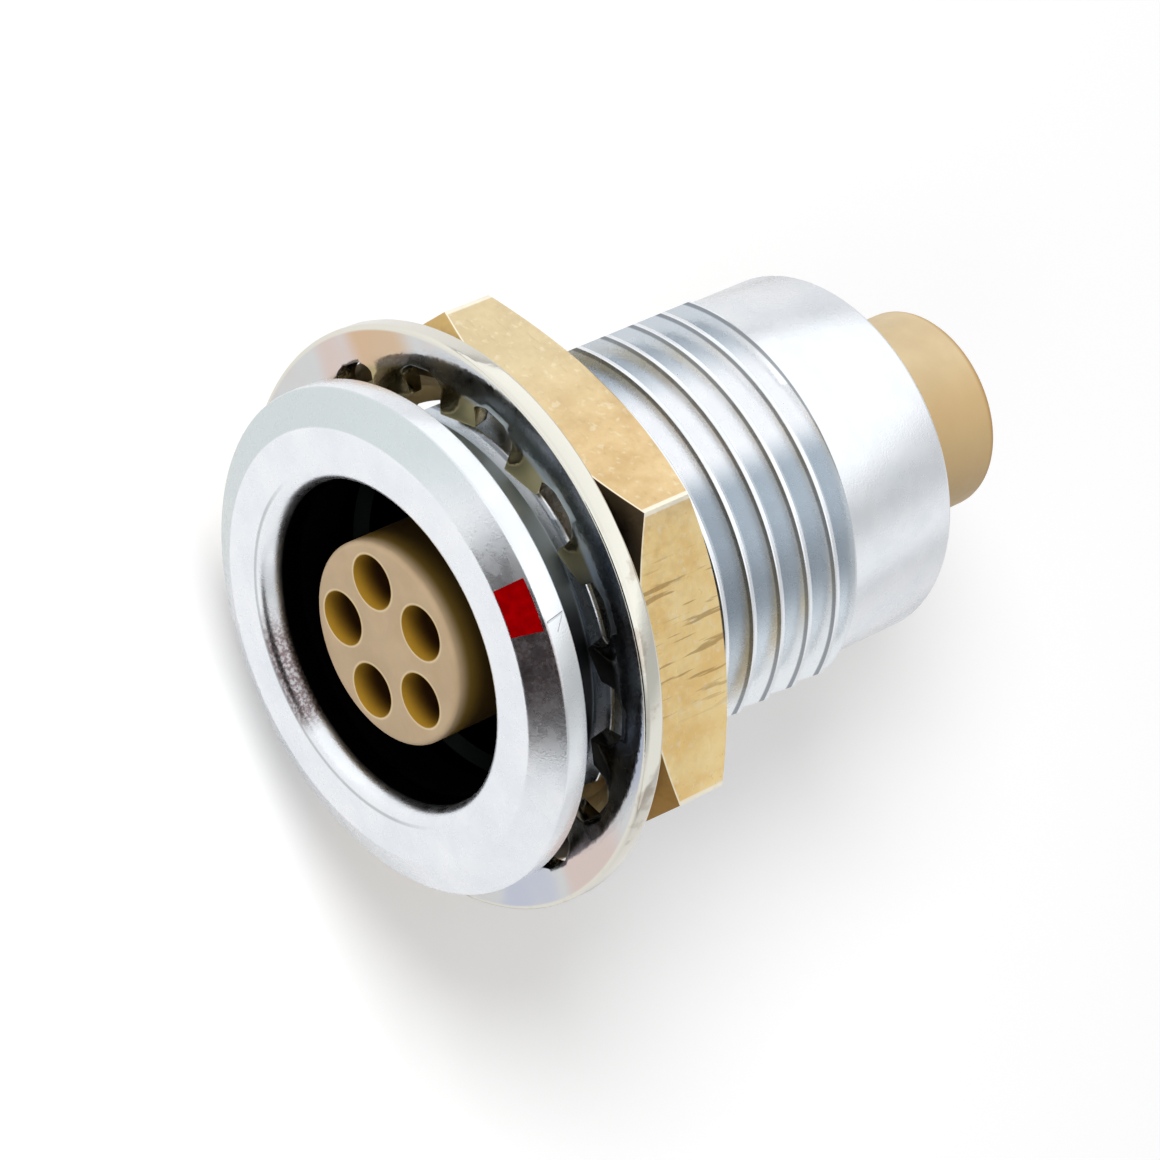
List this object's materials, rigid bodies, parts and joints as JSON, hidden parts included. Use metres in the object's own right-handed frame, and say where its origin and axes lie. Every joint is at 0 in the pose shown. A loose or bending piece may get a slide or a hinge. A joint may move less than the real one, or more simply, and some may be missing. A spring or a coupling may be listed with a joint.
{
  "type": "panel receptacle connector",
  "caption": "Round flanged push-pull panel socket with a ring of female contacts, a threaded body with wrench flats, a hexagon nut, a toothed lock washer and a solder-side stub.",
  "frame": {"origin": "centre of the flange's rear face, the face that seats on the panel", "axes": "+Y along the connector's axis from the mating side to the wiring side, +Z through the keying mark and the keyway, +X and -X out of the thread's two flats"},
  "size_m": [0.016, 0.0202, 0.016],
  "materials": {
    "shell": "satin chrome on turned brass",
    "crown": "dull nickel plated spring bronze",
    "contact_metal": "gold plated",
    "front_insulator": "moulded, tan",
    "rear_insulator": "moulded, yellower tan",
    "nut": "plain machined brass",
    "washer": "nickel plated spring bronze",
    "mark": "gloss paint"
  },
  "bodies": {
    "receptacle": {"outer_shell": "shell", "earthing_crown": "crown", "retaining_ring": "shell", "insulator_front": "front_insulator", "insulator_rear": "rear_insulator", "contact_1": "contact_metal", "contact_2": "contact_metal", "contact_3": "contact_metal", "contact_4": "contact_metal", "contact_5": "contact_metal", "key_mark": "mark"},
    "washer": {"lock_washer": "washer"},
    "nut": {"hex_nut": "nut"}
  },
  "joints": [
    {"name": "nut_travel", "type": "slide", "parent": "receptacle", "child": "washer", "axis": [0, 1, 0], "range_m": [-0.0007, 0.0057]},
    {"name": "nut_turn", "type": "hinge", "parent": "washer", "child": "nut", "pos_m": [0, 0, 0], "axis": [0, 1, 0], "range_deg": [-255, 2060]}
  ],
  "couplings": [
    {"joint": "nut_turn", "follows": "nut_travel", "rad_per_m": 6283.2}
  ]
}
